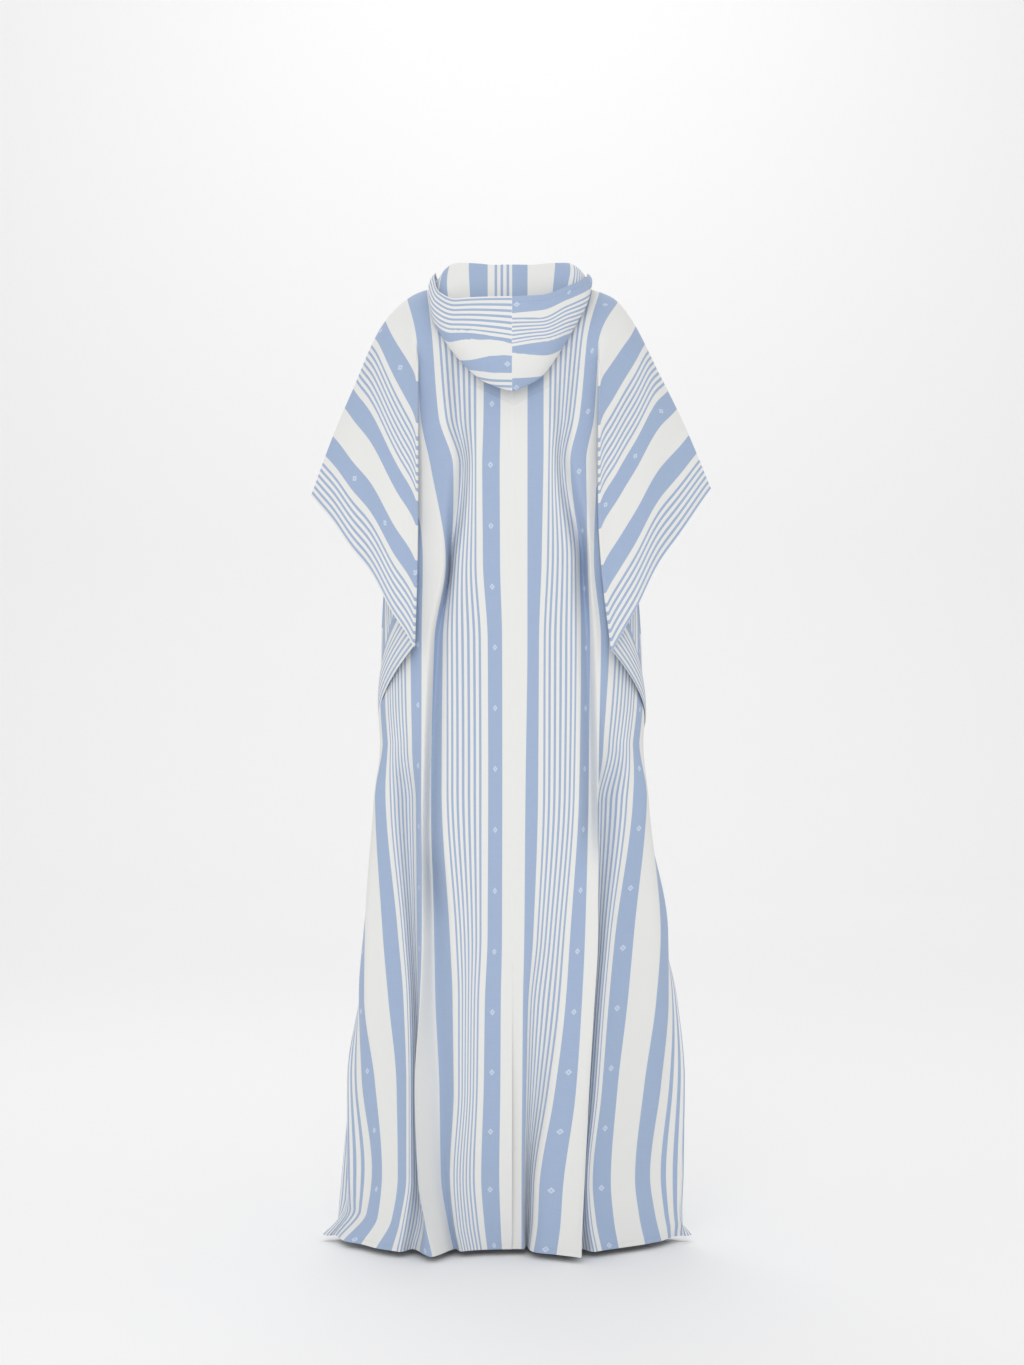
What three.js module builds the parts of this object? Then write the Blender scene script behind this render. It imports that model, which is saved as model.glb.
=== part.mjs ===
// A worn, floor-length hooded kaftan: four body panels with cut-in-one sleeves and a two-piece hood.
// Millimetres, +Z up. The front faces -Y, the back +Y, and the wearer's left arm is on +X.
// The origin is the point between the shoulders, where the wearer's neck passes through.
// A place on a panel is given by u, the distance in the cloth from the centre seam to a warp thread.

import * as THREE from 'three';

const cloth = { wall: 2, halfWidth: 495, halfGap: 0.15, foldSpread: 2.6 };
const neck = { halfWidth: 85, shoulderZ: 4, backDepth: 62, backDrop: 6, frontDepth: 74, frontDrop: 34 };
const slit = { bottomZ: -230, halfOpen: 12, fadeU: 70 };
const colours = { back: 0xc9d3e2, front: 0xd6dde8, hood: 0xb5c4dc };

// Columns of the body panels' grids: threads lie closer at the neck and at the side creases.
const threads = [0.15, 22, 44, 62, 75, 82, 85, 104, 122, 141, 160, 174, 190, 207, 226, 246, 266, 288, 311, 334,
  358, 383, 410, 438, 466, 495];
const rows = { wing: 7, middle: 3, skirt: 15 };

// A table with named columns: its rows are lists of numbers, in the order of the names.
const table = (...names) => (...rows) => rows.map((row) => Object.fromEntries(names.map((name, k) => [name, row[k]])));

// Smooth curve through points: cubic pieces whose slopes never overshoot. The keys rise.
function curve(keys, values, at) {
  const last = keys.length - 1;
  const inside = Math.min(Math.max(at, keys[0]), keys[last]);
  let k = 0;
  while (k < last - 1 && inside > keys[k + 1]) k += 1;
  const step = (i) => (values[i + 1] - values[i]) / (keys[i + 1] - keys[i]);
  const slope = (i) => {
    if (i === 0) return step(0);
    if (i === last) return step(last - 1);
    const before = step(i - 1);
    const after = step(i);
    return before * after <= 0 ? 0 : (2 * before * after) / (before + after);
  };
  const h = keys[k + 1] - keys[k];
  const t = (inside - keys[k]) / h;
  return values[k] * (2 * t ** 3 - 3 * t ** 2 + 1) + h * slope(k) * (t ** 3 - 2 * t ** 2 + t)
    + values[k + 1] * (3 * t ** 2 - 2 * t ** 3) + h * slope(k + 1) * (t ** 3 - t ** 2);
}

// The curve through one column of a table, whose key column may rise or fall.
function along(list, key, column, at) {
  const keys = list.map((row) => row[key]);
  const values = list.map((row) => row[column]);
  return keys[0] > keys[keys.length - 1] ? curve(keys.reverse(), values.reverse(), at) : curve(keys, values, at);
}

const ease = (t) => { const c = Math.min(Math.max(t, 0), 1); return c * c * (3 - 2 * c); };
const mix = (a, b, t) => a + (b - a) * t;
const mixPoint = (a, b, t) => a.map((value, i) => mix(value, b[i], t));

// Shoulder and overarm line of each side, from the neck to the sleeve's corner.
const outline = table('u', 'x', 'z');
const overarm = {
  left: outline([85, 88, 4], [144, 150, -13], [208, 200, -57], [326, 252, -168], [402, 283, -241],
                [495, 316, -331]),
  right: outline([85, 88, 4], [152, 157, -19], [190, 184, -48], [292, 231, -138], [388, 273, -224],
                 [495, 313, -320]),
};

// Side seam of each side, from the bottom of the armhole to the hem.
const seamLine = table('z', 'x', 'y');
const sideSeam = {
  left: seamLine([-720, 196, -48], [-850, 184, -50], [-1000, 204, -52], [-1150, 232, -56],
                 [-1300, 258, -62], [-1450, 264, -74], [-1480, 272, -80],
                 [-1512, 306, -88]),
  right: seamLine([-720, 196, -48], [-850, 186, -50], [-1000, 214, -52], [-1150, 246, -56],
                  [-1300, 266, -62], [-1450, 264, -72], [-1480, 266, -78],
                  [-1512, 288, -84]),
};

// lip: the outer edge of the side pleat, where the sleeve's cloth turns under. roll: its inner edge, where the
// cloth turns back and becomes the skirt. sections: depth of the skirt at the centre, at the crease thread and
// of the bulge beside it. places: how far from the middle the threads lie at each height, as the stripes show
// them; a column's name is the thread's u. folds: ridges and valleys (below zero) from (u0, z0) to (u1, z1).
const edge = table('u', 'x', 'y', 'z');
const section = table('z', 'centreY', 'creaseU', 'creaseY', 'bulgeX', 'bulgeY');
const leftPlaces = table('z', 56, 116, 160, 206, 238, 309, 352, 398, 430, 468);
const rightPlaces = table('z', 25, 60, 120, 164, 210, 238, 313, 356, 402, 434, 468);
const foldRow = table('u0', 'z0', 'u1', 'z1', 'width0', 'width1', 'depth0', 'depth1');

const panels = {
  back_left: {
    side: 1, face: 1, ends: 'left',
    lip: edge([160, 146, 90, -105], [206, 146, 93, -161], [249, 146, 95, -246], [320, 146, 96, -345],
              [398, 147, 97, -437], [495, 151, 97, -568]),
    roll: edge([160, 148, 80, -118], [183, 157, 70, -172], [205, 168, 58, -225], [254, 186, 32, -345],
               [302, 197, 6, -440], [368, 205, -20, -568], [430, 207, -36, -655], [495, 196, -48, -720]),
    sections: section(
      [-100, 84, 160, 82, 150, 78], [-215, 90, 168, 80, 160, 68], [-345, 84, 196, 76, 172, 55],
      [-440, 76, 216, 72, 186, 45], [-568, 74, 222, 70, 205, 35], [-720, 80, 222, 74, 236, 34],
      [-850, 88, 214, 84, 250, 40], [-1000, 88, 208, 90, 260, 46], [-1150, 82, 206, 92, 260, 56],
      [-1300, 68, 206, 90, 262, 62], [-1420, 48, 206, 88, 250, 60], [-1512, 26, 210, 84, 250, 40]),
    places: leftPlaces(
      [-100, 55, 113, 147, 164, 172, 180, 190, 200, 206, 204],
      [-215, 55, 103, 141, 158, 172, 180, 190, 200, 206, 204],
      [-289, 55, 82, 126, 152, 172, 180, 190, 200, 206, 204],
      [-437, 55, 92, 103, 138, 158, 180, 190, 200, 206, 204],
      [-560, 48, 101, 121, 140, 150, 178, 196, 206, 206, 204],
      [-787, 47, 101, 126, 140, 149, 190, 214, 216, 208, 200],
      [-1014, 47, 87, 121, 139, 147, 171, 202, 231, 234, 222],
      [-1118, 51, 83, 119, 142, 145, 163, 193, 232, 242, 240],
      [-1252, 53, 83, 113, 150, 144, 160, 180, 215, 237, 262],
      [-1394, 58, 91, 111, 145, 140, 160, 178, 204, 221, 263],
      [-1466, 53, 86, 101, 133, 137, 170, 188, 211, 230, 262],
      [-1512, 47, 78, 92, 123, 144, 180, 213, 238, 268, 290]),
    folds: foldRow(
      [86, -205, 128, -430, 30, 36, -16, -24], [138, -470, 166, -900, 36, 46, -18, -30],
      [160, -980, 158, -1560, 46, 48, -26, -34], [256, -800, 256, -1560, 50, 52, -28, -42],
      [420, -760, 440, -1150, 60, 50, -26, -12], [452, -1240, 458, -1560, 34, 38, -12, -26]),
  },
  back_right: {
    side: -1, face: 1, ends: 'right',
    lip: edge([164, 134, 90, -105], [210, 134, 94, -170], [253, 134, 96, -250], [324, 134, 97, -350],
              [402, 139, 97, -445], [495, 154, 98, -575]),
    roll: edge([164, 137, 80, -118], [186, 147, 70, -176], [207, 159, 58, -230], [256, 179, 32, -350],
               [304, 193, 6, -445], [368, 203, -20, -572], [430, 206, -36, -658], [495, 196, -48, -720]),
    sections: section(
      [-100, 84, 164, 82, 139, 78], [-215, 90, 180, 80, 150, 68], [-345, 84, 214, 76, 162, 55],
      [-440, 76, 230, 72, 180, 45], [-568, 74, 236, 70, 203, 35], [-720, 80, 232, 74, 236, 34],
      [-850, 88, 218, 84, 252, 40], [-1000, 88, 212, 92, 266, 46], [-1150, 80, 210, 94, 270, 56],
      [-1300, 62, 208, 94, 270, 62], [-1420, 42, 204, 92, 260, 60], [-1512, 24, 200, 88, 250, 44]),
    places: rightPlaces(
      [-100, 25, 58, 108, 134, 158, 168, 184, 194, 204, 206, 204],
      [-215, 24, 57, 96, 127, 142, 156, 184, 194, 204, 206, 204],
      [-282, 24, 56, 83, 115, 133, 148, 184, 194, 204, 206, 204],
      [-433, 24, 54, 99, 118, 127, 140, 182, 194, 204, 206, 204],
      [-559, 24, 49, 100, 122, 138, 147, 184, 200, 208, 206, 204],
      [-790, 21, 48, 97, 119, 133, 131, 181, 211, 214, 208, 200],
      [-1020, 19, 38, 81, 113, 132, 129, 154, 191, 234, 247, 238],
      [-1126, 17, 28, 73, 108, 126, 122, 144, 181, 227, 248, 262],
      [-1261, 16, 24, 56, 99, 118, 112, 134, 165, 208, 236, 275],
      [-1405, 15, 20, 35, 80, 111, 105, 120, 155, 194, 219, 274],
      [-1466, 15, 19, 33, 76, 108, 102, 125, 160, 201, 227, 272],
      [-1512, 15, 20, 28, 70, 107, 104, 134, 168, 211, 238, 274]),
    folds: foldRow(
      [92, -205, 140, -430, 30, 36, -14, -24], [146, -470, 170, -820, 34, 42, -16, -24],
      [84, -1080, 92, -1560, 46, 52, -10, -40], [258, -790, 258, -1560, 50, 52, -28, -42],
      [424, -760, 446, -1120, 60, 48, -26, -12], [456, -1240, 462, -1560, 32, 34, -12, -24]),
  },
  front_left: {
    side: 1, face: -1, ends: 'left',
    lip: edge([160, 150, -98, -105], [206, 150, -104, -161], [249, 150, -108, -246], [320, 150, -108, -345],
              [398, 150, -108, -437], [495, 152, -110, -560]),
    roll: edge([160, 152, -88, -118], [183, 161, -84, -172], [205, 170, -80, -225], [254, 186, -78, -345],
               [302, 196, -74, -440], [368, 203, -68, -568], [430, 204, -60, -655], [495, 196, -48, -720]),
    sections: section(
      [-100, -86, 160, -90, 154, -88], [-215, -110, 164, -96, 164, -92], [-345, -112, 188, -96, 176, -90],
      [-440, -108, 206, -96, 188, -90], [-568, -106, 222, -98, 202, -98], [-720, -108, 222, -104, 230, -106],
      [-850, -110, 214, -110, 246, -112], [-1000, -112, 208, -114, 256, -118], [-1150, -112, 206, -120, 260, -122],
      [-1300, -110, 206, -126, 262, -126], [-1420, -106, 206, -130, 258, -132], [-1512, -102, 210, -134, 254, -136]),
    places: leftPlaces(
      [-100, 55, 113, 150, 168, 176, 184, 190, 200, 206, 204],
      [-289, 55, 98, 138, 160, 172, 184, 190, 200, 206, 204],
      [-560, 50, 92, 120, 144, 158, 180, 196, 206, 206, 204],
      [-787, 48, 88, 122, 146, 158, 186, 208, 216, 210, 200],
      [-1014, 48, 84, 122, 150, 160, 178, 206, 231, 234, 222],
      [-1252, 46, 80, 118, 156, 162, 176, 196, 222, 238, 256],
      [-1512, 44, 78, 114, 150, 164, 184, 210, 236, 262, 282]),
    folds: foldRow(
      [104, -300, 112, -900, 44, 48, -20, -30], [74, -1040, 78, -1560, 52, 56, -22, -34],
      [204, -640, 200, -1560, 46, 48, 10, 22], [270, -760, 262, -1560, 52, 52, -28, -42],
      [404, -760, 420, -1400, 58, 56, -26, -20]),
  },
  front_right: {
    side: -1, face: -1, ends: 'right',
    lip: edge([164, 148, -98, -105], [210, 148, -104, -165], [253, 148, -108, -250], [324, 148, -108, -350],
              [402, 149, -108, -440], [495, 154, -110, -566]),
    roll: edge([164, 150, -88, -118], [186, 159, -84, -176], [207, 168, -80, -230], [256, 185, -78, -350],
               [304, 196, -74, -445], [368, 203, -68, -572], [430, 204, -60, -658], [495, 196, -48, -720]),
    sections: section(
      [-100, -86, 164, -90, 152, -88], [-215, -110, 168, -96, 162, -92], [-345, -112, 190, -96, 174, -90],
      [-440, -108, 208, -96, 186, -90], [-568, -106, 224, -98, 200, -98], [-720, -108, 224, -104, 230, -106],
      [-850, -110, 218, -110, 248, -112], [-1000, -112, 212, -114, 260, -118], [-1150, -112, 210, -120, 264, -122],
      [-1300, -110, 208, -126, 266, -126], [-1420, -106, 206, -130, 258, -132], [-1512, -102, 206, -134, 250, -136]),
    places: rightPlaces(
      [-100, 25, 59, 115, 148, 166, 173, 184, 194, 204, 206, 204],
      [-282, 25, 58, 98, 132, 158, 168, 184, 194, 204, 206, 204],
      [-559, 24, 52, 92, 122, 146, 156, 184, 200, 208, 206, 204],
      [-790, 23, 50, 88, 122, 148, 156, 186, 208, 214, 208, 200],
      [-1020, 23, 48, 84, 120, 150, 157, 178, 204, 234, 244, 238],
      [-1261, 22, 46, 80, 116, 152, 156, 176, 198, 226, 246, 268],
      [-1512, 21, 44, 78, 112, 146, 153, 180, 206, 232, 250, 264]),
    folds: foldRow(
      [98, -340, 110, -860, 42, 46, -18, -28], [66, -1000, 72, -1560, 50, 54, -20, -32],
      [208, -620, 204, -1560, 46, 48, 10, 20], [276, -740, 266, -1560, 52, 52, -26, -40],
      [396, -760, 414, -1400, 58, 56, -24, -18]),
  },
};

const hemZ = -1512;
const foldFade = 130;

// Depth of the folds at thread u and height z: each is a squared cosine across its width.
function foldDepth(panel, u, z) {
  let depth = 0;
  for (const fold of panel.folds) {
    const t = (z - fold.z0) / (fold.z1 - fold.z0);
    const c = Math.min(Math.max(t, 0), 1);
    const strength = 1 - ease((Math.abs(t - c) * Math.abs(fold.z1 - fold.z0)) / foldFade);
    const across = (u - mix(fold.u0, fold.u1, c)) / mix(fold.width0, fold.width1, c);
    if (Math.abs(across) < 1) depth += mix(fold.depth0, fold.depth1, c) * strength * Math.cos((across * Math.PI) / 2) ** 2;
  }
  return depth;
}

// Half the space between the two layers at the roll: it closes where the roll ends in the side seam.
function rollSpread(u) {
  return cloth.foldSpread * (1 - ease((u - 440) / 55));
}

// The centre-front slit below the neckline: how far thread u stands away from the middle at height z.
function slitShift(panel, u, z) {
  if (panel.face > 0) return 0;
  return slit.halfOpen * ease((z - slit.bottomZ) / -slit.bottomZ) * (1 - ease(u / slit.fadeU));
}

// Level section of the skirt at height z. Out to the crease thread, and all the way below the sleeve, thread u
// lies at its place from the table; beyond the crease above that, on a quadratic curve to the roll. The folds
// move it forwards or back.
function skirtPoint(panel, u, z) {
  const row = (column) => along(panel.sections, 'z', column, z);
  const roll = (column) => along(panel.roll, 'z', column, z);
  const seam = (column) => along(sideSeam[panel.ends], 'z', column, z);
  const rollEnd = panel.roll[panel.roll.length - 1].z;
  const above = z > rollEnd;
  const creaseU = row('creaseU');
  const endU = above ? Math.max(roll('u'), creaseU + 0.5) : cloth.halfWidth;
  const endX = above ? roll('x') : seam('x');
  const endY = above ? roll('y') + panel.face * (cloth.halfGap - rollSpread(endU)) : seam('y') + panel.face * cloth.halfGap;
  const known = Object.keys(panel.places[0]).filter((name) => name !== 'z').map(Number).sort((a, b) => a - b);
  const keys = [0, ...known, cloth.halfWidth];
  const values = [0, ...known.map((name) => along(panel.places, 'z', name, z)), endX];
  const placed = curve(keys, values, u);
  const t = Math.min(Math.max((u - creaseU) / (endU - creaseU), 0), 1);
  const bend = (start, control, end) => mix(mix(start, control, t), mix(control, end, t), t);
  const inner = u <= creaseU;
  const low = ease((rollEnd - z) / 90);
  const x = inner ? placed : mix(bend(curve(keys, values, creaseU), row('bulgeX'), endX), placed, low);
  const y = inner ? mix(row('centreY'), row('creaseY'), (u / creaseU) ** 2) : bend(row('creaseY'), row('bulgeY'), endY);
  const depth = foldDepth(panel, u, z) * ease(u / 25) * ease((endU - u) / 40);
  return [x + slitShift(panel, u, z), y + panel.face * depth, z];
}

// First row of a panel: the neckline's half ellipse, then the shoulder and overarm line.
function topPoint(panel, u) {
  if (u <= neck.halfWidth) {
    const across = u / neck.halfWidth;
    const round = 1 - across * across;
    const depth = panel.face > 0 ? neck.backDepth : neck.frontDepth;
    const drop = panel.face > 0 ? neck.backDrop : neck.frontDrop;
    const table = overarm[panel.ends];
    const x = table[0].x * across + slitShift(panel, u, 0) * round;
    return [x, panel.face * (depth * Math.sqrt(round) + cloth.halfGap), neck.shoulderZ - drop * round];
  }
  const table = overarm[panel.ends];
  return [along(table, 'u', 'x', u), panel.face * cloth.halfGap, along(table, 'u', 'z', u)];
}

// Where the wing ends and where the skirt begins on thread u. Past the crease's top these are the lip and
// the roll of the side pleat; nearer the centre the cloth hangs straight, with no pleat between them.
function pleatPoints(panel, u) {
  const apex = panel.lip[0];
  const inner = u < apex.u;
  const lipZ = inner ? apex.z : along(panel.lip, 'u', 'z', u);
  const rollZ = inner ? panel.roll[0].z - (apex.u - u) * 0.5 : along(panel.roll, 'u', 'z', u);
  if (inner) return { lip: skirtPoint(panel, u, lipZ), roll: skirtPoint(panel, u, rollZ), deep: 0 };
  const deep = ease((u - apex.u) / 26);
  const flatLip = skirtPoint(panel, apex.u, lipZ);
  const lip = [along(panel.lip, 'u', 'x', u), along(panel.lip, 'u', 'y', u), lipZ];
  const roll = [along(panel.roll, 'u', 'x', u), along(panel.roll, 'u', 'y', u), rollZ];
  return { lip: mixPoint(flatLip, lip, Math.max(deep, 0.001)), roll, deep };
}

// One thread from the top edge to the hem, as the column of a grid.
function threadPoints(panel, u) {
  const top = topPoint(panel, u);
  const { lip, roll, deep } = pleatPoints(panel, u);
  const spread = cloth.foldSpread * deep * panel.face;
  const outer = ease((u - panel.lip[0].u) / (cloth.halfWidth - panel.lip[0].u));
  const leave = u <= neck.halfWidth ? [0, panel.face * 40, -26] : [-60 * outer, panel.face * mix(120, 80, outer), mix(-30, -70, outer)];
  const points = [];
  const wingEnd = [lip[0] + 1.5 * deep, lip[1] + spread, lip[2]];
  const level = Math.min(u, panel.lip[0].u);
  const run = Math.hypot(...wingEnd.map((value, k) => value - top[k])) / 4;
  const nearLip = skirtPoint(panel, level, lip[2]);
  const flatRun = skirtPoint(panel, level, lip[2] - 4).map((value, k) => (value - nearLip[k]) * run);
  const arrive = mixPoint(flatRun, [-90 * outer, panel.face * mix(16, 50, outer), mix(-90, -200, outer)], deep);
  for (let i = 0; i <= rows.wing; i += 1) {
    const t = i / rows.wing;
    points.push(top.map((value, k) => value * (2 * t ** 3 - 3 * t ** 2 + 1) + leave[k] * (t ** 3 - 2 * t ** 2 + t)
      + wingEnd[k] * (3 * t ** 2 - 2 * t ** 3) + arrive[k] * (t ** 3 - t ** 2)));
  }
  points.push([lip[0] - 1.5 * deep, lip[1], lip[2] - 1]);
  const middleStart = [lip[0] + 1.5 * deep, lip[1] - spread, lip[2] - 2];
  const open = rollSpread(u) * deep;
  const middleEnd = [roll[0] - 1.5 * deep, roll[1] + panel.face * (open + cloth.halfGap), roll[2] + 2];
  const swell = ease((u - 330) / 165);
  const control = mixPoint(middleStart, middleEnd, 0.5);
  control[0] += 66 * swell;
  control[1] -= 20 * swell * panel.face;
  control[2] -= 30 * swell;
  for (let i = 0; i <= rows.middle; i += 1) {
    const t = i / rows.middle;
    const pleated = mixPoint(mixPoint(middleStart, control, t), mixPoint(control, middleEnd, t), t);
    points.push(mixPoint(skirtPoint(panel, level, mix(lip[2] - 2, roll[2] + 2, t)), pleated, deep));
  }
  points.push([roll[0] + 0.6 * open, roll[1] + panel.face * cloth.halfGap, roll[2]]);
  for (let i = 0; i <= rows.skirt; i += 1) {
    const t = i / rows.skirt;
    const z = mix(roll[2] - 2, hemZ, t * 0.85 + 0.15 * t * t);
    points.push(skirtPoint(panel, u, z));
  }
  return points.map(([x, y, z]) => new THREE.Vector3(x * panel.side, y, z));
}

// Closed wall round a grid of columns: every point is moved out and in by half the wall along its normal.
function wallFromGrid(columns, thickness, turn, fixNormal) {
  const wide = columns.length;
  const tall = columns[0].length;
  const at = (i, j) => columns[Math.min(Math.max(i, 0), wide - 1)][Math.min(Math.max(j, 0), tall - 1)];
  const outer = [];
  const inner = [];
  for (let i = 0; i < wide; i += 1) {
    for (let j = 0; j < tall; j += 1) {
      const across = at(i + 1, j).clone().sub(at(i - 1, j));
      const down = at(i, j + 1).clone().sub(at(i, j - 1));
      const normal = across.cross(down).multiplyScalar(turn);
      fixNormal(normal, i, j, wide, tall);
      normal.normalize().multiplyScalar(thickness / 2);
      outer.push(at(i, j).clone().add(normal));
      inner.push(at(i, j).clone().sub(normal));
    }
  }
  const positions = [...outer, ...inner].flatMap((point) => [point.x, point.y, point.z]);
  const index = [];
  const offset = outer.length;
  const id = (i, j, layer) => layer * offset + i * tall + j;
  const quad = (a, b, c, d) => (turn > 0 ? index.push(a, c, b, b, c, d) : index.push(a, b, c, b, d, c));
  for (let i = 0; i + 1 < wide; i += 1) {
    for (let j = 0; j + 1 < tall; j += 1) {
      quad(id(i, j, 0), id(i, j + 1, 0), id(i + 1, j, 0), id(i + 1, j + 1, 0));
      quad(id(i, j, 1), id(i + 1, j, 1), id(i, j + 1, 1), id(i + 1, j + 1, 1));
    }
  }
  for (let j = 0; j + 1 < tall; j += 1) {
    quad(id(0, j, 0), id(0, j, 1), id(0, j + 1, 0), id(0, j + 1, 1));
    quad(id(wide - 1, j, 1), id(wide - 1, j, 0), id(wide - 1, j + 1, 1), id(wide - 1, j + 1, 0));
  }
  for (let i = 0; i + 1 < wide; i += 1) {
    quad(id(i, 0, 1), id(i, 0, 0), id(i + 1, 0, 1), id(i + 1, 0, 0));
    quad(id(i, tall - 1, 0), id(i, tall - 1, 1), id(i + 1, tall - 1, 0), id(i + 1, tall - 1, 1));
  }
  const geometry = new THREE.BufferGeometry();
  geometry.setAttribute('position', new THREE.Float32BufferAttribute(positions, 3));
  geometry.setIndex(index);
  geometry.computeVertexNormals();
  return geometry;
}

function bodyPanel(name, panel, colour) {
  const columns = threads.map((u) => threadPoints(panel, u));
  const rollRow = rows.wing + 1 + 1 + rows.middle;
  const geometry = wallFromGrid(columns, cloth.wall, -panel.side * panel.face, (normal, i, j, wide) => {
    if (i === 0) normal.setX(0);
    if (j === 0 && threads[i] >= neck.halfWidth) normal.setY(0);
    if (i === wide - 1 && j >= rollRow) normal.set(panel.side, 0, 0);
  });
  const mesh = new THREE.Mesh(geometry, new THREE.MeshStandardMaterial({ color: colour, roughness: 0.85, metalness: 0 }));
  mesh.name = name;
  return mesh;
}

// The hood hangs down the back as an open bag. Its profile at each angle round the neck, from the middle of
// the back (0) to the front, runs from the neckline up over a roll, down the inner wall, round the bottom and
// up the outer wall to the rim of the face opening. out is measured from the neckline and z is a height.
const profileRow = table('angle', 'rollOut', 'rollZ', 'innerOut', 'bottomOut', 'bottomZ', 'outerOut', 'rimOut', 'rimZ');
const hoodProfiles = {
  left: profileRow(
    [0, 4, 25, 42, 56, -168, 84, 72, -24], [16, 4, 24, 44, 58, -156, 84, 72, -24],
    [32, 5, 26, 44, 60, -124, 82, 70, -25], [48, 6, 28, 56, 66, -72, 74, 62, -14],
    [64, 7, 30, 42, 52, -20, 56, 47, 6], [82, 8, 29, 16, 32, 6, 38, 33, 18],
    [110, 8, 18, 14, 28, -6, 34, 29, 4], [140, 7, 0, 12, 24, -23, 29, 25, -13],
    [168, 6, -12, 11, 20, -34, 25, 21, -25]),
  right: profileRow(
    [0, 4, 25, 42, 56, -168, 84, 72, -24], [16, 4, 24, 42, 55, -150, 80, 70, -21],
    [32, 5, 26, 42, 52, -106, 72, 64, -10], [48, 6, 28, 50, 57, -50, 62, 54, 0],
    [64, 7, 30, 40, 46, -10, 50, 42, 8], [82, 8, 29, 16, 30, 8, 36, 31, 17],
    [110, 8, 18, 14, 28, -6, 34, 29, 4], [140, 7, 0, 12, 24, -23, 29, 25, -13],
    [168, 6, -12, 11, 20, -34, 25, 21, -25]),
};
const hoodGrid = { angles: 17, steps: 14, standGap: 1.3 };

function hoodColumn(side, degrees) {
  const angle = (degrees * Math.PI) / 180;
  const heading = [Math.sin(angle), Math.cos(angle)];
  const depth = heading[1] > 0 ? neck.backDepth : neck.frontDepth;
  const drop = (heading[1] > 0 ? neck.backDrop : neck.frontDrop) * heading[1] ** 2;
  const foot = [overarm.left[0].x * heading[0], depth * heading[1], neck.shoulderZ - drop + hoodGrid.standGap];
  const size = (column) => along(hoodProfiles[side > 0 ? 'left' : 'right'], 'angle', column, degrees);
  const tall = size('rollZ') - size('bottomZ');
  const profile = [
    { v: 0, out: 0, z: foot[2] },
    { v: 1, out: size('rollOut') * 0.6, z: mix(foot[2], size('rollZ'), 0.7) },
    { v: 2, out: size('rollOut') + 3, z: size('rollZ') },
    { v: 3, out: mix(size('rollOut'), size('innerOut'), 0.55), z: size('rollZ') - 0.2 * tall },
    { v: 4, out: size('innerOut'), z: size('bottomZ') + 0.35 * tall },
    { v: 5, out: mix(size('innerOut'), size('bottomOut'), 0.5), z: size('bottomZ') + 0.06 * tall },
    { v: 6, out: size('bottomOut') + 3, z: size('bottomZ') },
    { v: 7, out: size('outerOut'), z: mix(size('bottomZ'), size('rimZ'), 0.4) },
    { v: 8, out: size('rimOut'), z: size('rimZ') },
  ];
  const column = [];
  for (let k = 0; k <= hoodGrid.steps; k += 1) {
    const v = (8 * k) / hoodGrid.steps;
    const out = along(profile, 'v', 'out', v);
    const x = foot[0] + heading[0] * out + (degrees === 0 ? cloth.halfGap : 0);
    column.push(new THREE.Vector3(side * x, foot[1] + heading[1] * out, along(profile, 'v', 'z', v)));
  }
  return column;
}

function hoodHalf(name, side, colour) {
  const last = hoodProfiles.left[hoodProfiles.left.length - 1].angle;
  const columns = [];
  for (let i = 0; i <= hoodGrid.angles; i += 1) columns.push(hoodColumn(side, (last * i) / hoodGrid.angles));
  const geometry = wallFromGrid(columns, cloth.wall, side, (normal, i, j) => {
    if (i === 0) normal.setX(0);
    if (j === 0) normal.setZ(0);
  });
  const mesh = new THREE.Mesh(geometry, new THREE.MeshStandardMaterial({ color: colour, roughness: 0.85, metalness: 0 }));
  mesh.name = name;
  return mesh;
}

const kaftan = new THREE.Group();
for (const [name, panel] of Object.entries(panels)) {
  kaftan.add(bodyPanel(name, panel, panel.face > 0 ? colours.back : colours.front));
}

kaftan.add(hoodHalf('hood_left', 1, colours.hood));
kaftan.add(hoodHalf('hood_right', -1, colours.hood));

export default kaftan;
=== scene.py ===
import math

import bpy
import numpy as np
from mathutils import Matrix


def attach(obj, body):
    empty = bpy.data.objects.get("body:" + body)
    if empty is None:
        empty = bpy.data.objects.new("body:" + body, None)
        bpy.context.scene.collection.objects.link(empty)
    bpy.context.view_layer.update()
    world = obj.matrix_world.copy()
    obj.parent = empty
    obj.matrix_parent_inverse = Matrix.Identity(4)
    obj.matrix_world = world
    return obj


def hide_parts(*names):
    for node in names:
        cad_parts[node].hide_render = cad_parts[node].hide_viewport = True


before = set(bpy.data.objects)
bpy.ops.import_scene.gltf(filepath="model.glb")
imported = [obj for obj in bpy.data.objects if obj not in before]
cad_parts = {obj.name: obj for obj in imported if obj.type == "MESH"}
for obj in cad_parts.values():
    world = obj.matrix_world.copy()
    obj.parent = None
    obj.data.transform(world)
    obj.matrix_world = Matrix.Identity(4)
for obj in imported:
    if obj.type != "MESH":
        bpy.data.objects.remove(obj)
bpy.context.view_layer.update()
print("frame loaded")

# A striped hooded kaftan in its worn form. Sizes are in millimetres and become metres in the meshes.
# u is the distance in the cloth from the centre seam to a warp thread, z the height under the neck.

cloth = {"wall": 1.1, "halfWidth": 495, "halfGap": 0.15, "foldSpread": 2.6, "hemZ": -1512, "foldFade": 130,
         "closingFrom": 440, "turnRows": 3, "sharpAngle": 62}
neck = {"halfWidth": 85, "shoulderZ": 4, "backDepth": 62, "backDrop": 6, "frontDepth": 74, "frontDrop": 34}
slit = {"bottomZ": -230, "halfOpen": 12, "fadeU": 70}
grid = {"threads": 136, "wing": 62, "middle": 22, "skirt": 190}


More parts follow.
